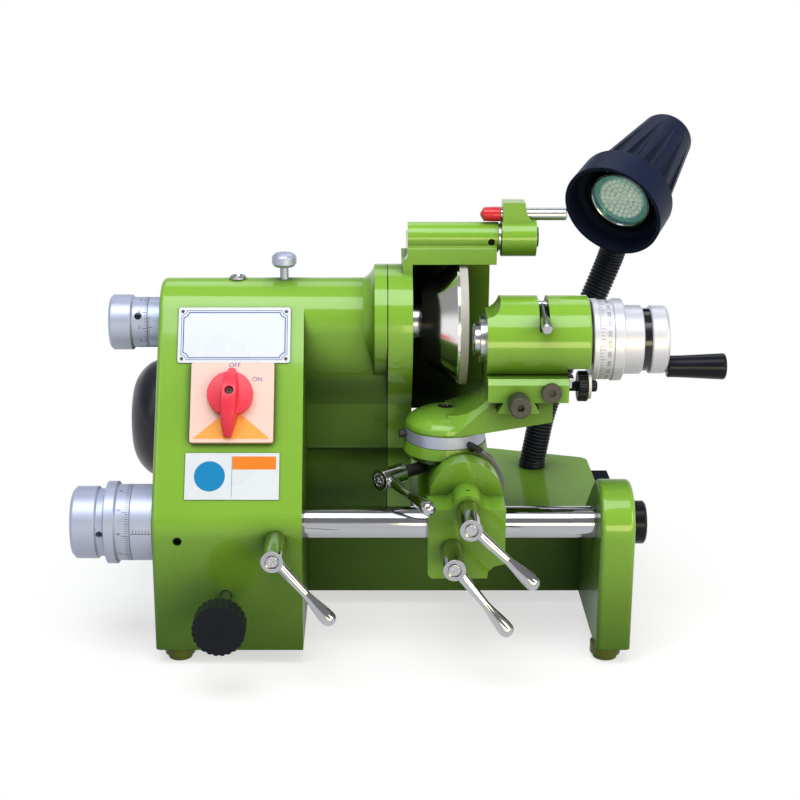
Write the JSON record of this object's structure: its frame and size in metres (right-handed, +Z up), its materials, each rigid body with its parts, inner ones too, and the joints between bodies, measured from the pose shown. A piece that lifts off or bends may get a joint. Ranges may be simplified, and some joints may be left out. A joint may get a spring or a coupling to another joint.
{
  "type": "drill and end mill grinder",
  "caption": "Bench tool grinder: cast headstock with guarded cup wheel, swing bar carrying a tilting, swivelling dividing head, feed dials, clamp levers, wheel dresser and gooseneck work lamp.",
  "frame": {"origin": "centre of the overall box on the floor, under the four feet", "axes": "+X to the operator's right along the bar, +Y away from the operator, +Z up"},
  "size_m": [0.512, 0.364, 0.3986],
  "materials": {
    "green_enamel": "glossy yellow-green machine enamel with a slight orange peel",
    "wheel_steel": "turned and polished steel",
    "abrasive": "fine bonded abrasive rim",
    "chrome_bar": "ground and hard chromed bar",
    "lever_chrome": "bright chromed clamp levers",
    "dial_satin": "satin chromed dials with engraved graduations",
    "spindle_steel": "ground steel",
    "dark_steel": "phosphated dark steel screws and pins",
    "black_plastic": "moulded glossy black plastic",
    "lamp_black": "satin black moulded lamp head",
    "neck_black": "satin black wound flexible neck",
    "bulb": "faceted reflector lamp behind glass",
    "plate_white": "plain white plate with a blue border",
    "plate_cream": "cream moulded switch plate",
    "switch_red": "moulded red plastic",
    "cap_red": "soft red protective cap",
    "bronze": "bronze bush",
    "belt_rubber": "flat drive belt",
    "motor_black": "black painted motor",
    "foot_amber": "translucent yellow-green rubber feet"
  },
  "bodies": {
    "frame": {"base_casting": "green_enamel", "headstock_casting": "green_enamel", "wheel_guard": "green_enamel", "levelling_feet": "foot_amber", "nameplate": "plate_white", "info_plate": "plate_white", "switch_plate": "plate_cream", "motor_body": "motor_black", "motor_end_cover": "motor_black", "drive_belt": "belt_rubber", "belt_cover": "green_enamel", "quill_index_collar": "dial_satin", "bar_index_collar": "dial_satin", "bar_end_cap": "black_plastic", "oil_cup": "spindle_steel", "lamp_box": "black_plastic", "lamp_shade": "lamp_black", "lamp_bulb": "bulb", "lamp_gooseneck": "neck_black", "dresser_pivot": "spindle_steel"},
    "switch": {"switch_knob": "switch_red"},
    "quill": {"spindle_quill": "spindle_steel", "spindle_bearings": "spindle_steel"},
    "quill_dial": {"quill_feed_knob": "dial_satin"},
    "wheel": {"wheel_spindle": "spindle_steel", "spindle_pulley": "spindle_steel", "wheel_cup": "wheel_steel", "wheel_rim": "abrasive", "wheel_nut": "dark_steel"},
    "motor": {"motor_pulley": "spindle_steel"},
    "bar": {"guide_bar": "chrome_bar"},
    "bar_dial": {"bar_feed_knob": "dial_satin"},
    "stop_screw": {"stop_stud": "dark_steel", "stop_knob": "black_plastic"},
    "quill_lock": {"lock_pin": "dial_satin"},
    "bar_lock": {"bar_lock_lever": "lever_chrome"},
    "carrier_sleeve": {"clamp_bush": "bronze"},
    "carrier": {"carrier_bracket": "green_enamel"},
    "tilt_lock": {"tilt_lock_lever": "lever_chrome"},
    "carrier_clamp": {"carrier_clamp_lever": "lever_chrome"},
    "tilt": {"tilt_post": "green_enamel", "tilt_scale": "dial_satin"},
    "swivel_lock": {"swivel_lock_lever": "lever_chrome"},
    "swivel": {"swivel_arm": "green_enamel", "swivel_scale": "dial_satin", "swivel_screws": "dark_steel"},
    "cross": {"cross_slide": "green_enamel", "gib_plug": "dark_steel", "head_housing": "green_enamel"},
    "cross_dial": {"cross_feed_knob": "dark_steel"},
    "plunger": {"index_plunger": "black_plastic"},
    "spindle_clamp": {"spindle_clamp_handle": "spindle_steel"},
    "spindle": {"work_spindle": "spindle_steel", "collet": "spindle_steel", "index_dial": "dial_satin", "crank_disc": "dial_satin"},
    "grip": {"crank_grip": "black_plastic"},
    "dresser": {"dresser_arm": "green_enamel"},
    "diamond": {"diamond_rod": "spindle_steel", "diamond_cap": "cap_red"}
  },
  "joints": [
    {"name": "switch_turn", "type": "hinge", "parent": "frame", "child": "switch", "pos_m": [-0.1325, -0.061, 0.20365], "axis": [0, 0.8422, -0.5391], "range_deg": [0, 45]},
    {"name": "quill_dial_turn", "type": "hinge", "parent": "frame", "child": "quill_dial", "pos_m": [0, 0.0095, 0.246], "axis": [1, 0, 0], "range_deg": [-361, 361]},
    {"name": "quill_feed", "type": "slide", "parent": "frame", "child": "quill", "axis": [1, 0, 0], "range_m": [-0.002, 0.002]},
    {"name": "wheel_spin", "type": "hinge", "parent": "quill", "child": "wheel", "pos_m": [0, 0.0095, 0.246], "axis": [1, 0, 0], "continuous": true},
    {"name": "motor_spin", "type": "hinge", "parent": "frame", "child": "motor", "pos_m": [-0.05, 0.108, 0.132], "axis": [1, 0, 0], "continuous": true},
    {"name": "bar_dial_turn", "type": "hinge", "parent": "frame", "child": "bar_dial", "pos_m": [0, -0.0825, 0.107], "axis": [1, 0, 0], "range_deg": [-361, 991]},
    {"name": "bar_feed", "type": "slide", "parent": "frame", "child": "bar", "axis": [1, 0, 0], "range_m": [-0.002, 0.0055]},
    {"name": "stop_screw_turn", "type": "hinge", "parent": "frame", "child": "stop_screw", "pos_m": [-0.1354, -0.12, 0.0595], "axis": [0, 1, 0], "continuous": true},
    {"name": "quill_lock_press", "type": "slide", "parent": "frame", "child": "quill_lock", "axis": [0, 0, 1], "range_m": [-0.008, 0], "stiffness_N_per_m": 250},
    {"name": "bar_lock_turn", "type": "hinge", "parent": "frame", "child": "bar_lock", "pos_m": [-0.0965, -0.1165, 0.1047], "axis": [0, -1, 0], "range_deg": [-30, 60]},
    {"name": "carrier_travel", "type": "slide", "parent": "bar", "child": "carrier_sleeve", "axis": [1, 0, 0], "range_m": [-0.001, 0.06]},
    {"name": "carrier_swing", "type": "hinge", "parent": "carrier_sleeve", "child": "carrier", "pos_m": [0, -0.0825, 0.107], "axis": [1, 0, 0], "range_deg": [-1.5, 30]},
    {"name": "tilt_lock_turn", "type": "hinge", "parent": "carrier", "child": "tilt_lock", "pos_m": [0.0515, -0.118, 0.1305], "axis": [0, -1, 0], "range_deg": [0, 60]},
    {"name": "carrier_clamp_turn", "type": "hinge", "parent": "carrier", "child": "carrier_clamp", "pos_m": [0.0396, -0.118, 0.0987], "axis": [0, -1, 0], "range_deg": [-60, 0]},
    {"name": "head_tilt", "type": "hinge", "parent": "carrier", "child": "tilt", "pos_m": [0.0515, -0.064, 0.1305], "axis": [0, 1, 0], "range_deg": [-1, 20]},
    {"name": "swivel_lock_turn", "type": "hinge", "parent": "tilt", "child": "swivel_lock", "pos_m": [0.0209, -0.0488, 0.142], "axis": [-0.7413, -0.6712, 0], "range_deg": [0, 60]},
    {"name": "head_swivel", "type": "hinge", "parent": "tilt", "child": "swivel", "pos_m": [0.0372, -0.034, 0.17], "axis": [0, 0, 1], "range_deg": [-75, 12]},
    {"name": "cross_dial_turn", "type": "hinge", "parent": "cross", "child": "cross_dial", "pos_m": [0.0915, -0.08, 0.205], "axis": [0, 1, 0], "range_deg": [-1081, 1081]},
    {"name": "cross_feed", "type": "slide", "parent": "swivel", "child": "cross", "axis": [0, 1, 0], "range_m": [-0.006, 0.006]},
    {"name": "plunger_pull", "type": "slide", "parent": "cross", "child": "plunger", "axis": [1, 0, 0], "range_m": [-0.004, 0]},
    {"name": "spindle_clamp_lift", "type": "hinge", "parent": "cross", "child": "spindle_clamp", "pos_m": [0.1113, -0.038, 0.2719], "axis": [-1, 0, 0], "range_deg": [0, 75]},
    {"name": "spindle_turn", "type": "hinge", "parent": "cross", "child": "spindle", "pos_m": [0.1, -0.038, 0.244], "axis": [1, 0, 0], "continuous": true},
    {"name": "grip_turn", "type": "hinge", "parent": "spindle", "child": "grip", "pos_m": [0.23, -0.048, 0.2247], "axis": [1, 0, 0], "continuous": true},
    {"name": "dresser_swing", "type": "hinge", "parent": "frame", "child": "dresser", "pos_m": [0.095, 0.005, 0.3175], "axis": [1, 0, 0], "range_deg": [0, 90]},
    {"name": "diamond_set", "type": "slide", "parent": "dresser", "child": "diamond", "axis": [1, 0, 0], "range_m": [-0.008, 0]}
  ],
  "couplings": [
    {"joint": "quill_dial_turn", "follows": "quill_feed", "rad_per_m": 3141.6},
    {"joint": "bar_dial_turn", "follows": "bar_feed", "rad_per_m": 3141.6},
    {"joint": "cross_dial_turn", "follows": "cross_feed", "rad_per_m": 3141.6},
    {"joint": "wheel_spin", "follows": "motor_spin", "ratio": 1.875}
  ]
}
